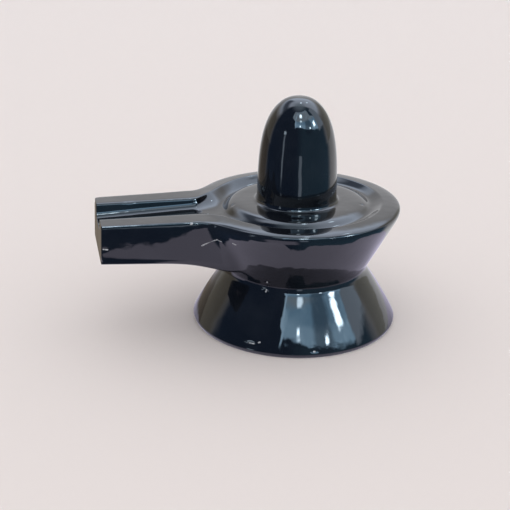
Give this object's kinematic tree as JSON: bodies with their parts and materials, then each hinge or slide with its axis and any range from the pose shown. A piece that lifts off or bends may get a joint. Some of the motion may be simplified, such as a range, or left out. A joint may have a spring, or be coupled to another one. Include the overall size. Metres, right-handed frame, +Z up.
{
  "type": "shiva lingam",
  "caption": "Small polished black stone shiva lingam: a rounded upright shaft in a round dish with a channelled spout, on a flared foot, carved as one piece.",
  "frame": {"origin": "centre of the foot's flat underside, on the axis of foot, dish and shaft", "axes": "+Z up along the shaft; the spout points along -X and Y runs across it"},
  "size_m": [0.0693, 0.0476, 0.0525],
  "materials": {
    "polished_black_stone": "high polish, with tiny chips along the edges"
  },
  "bodies": {
    "root": {"shiva_lingam": "polished_black_stone"}
  },
  "joints": []
}
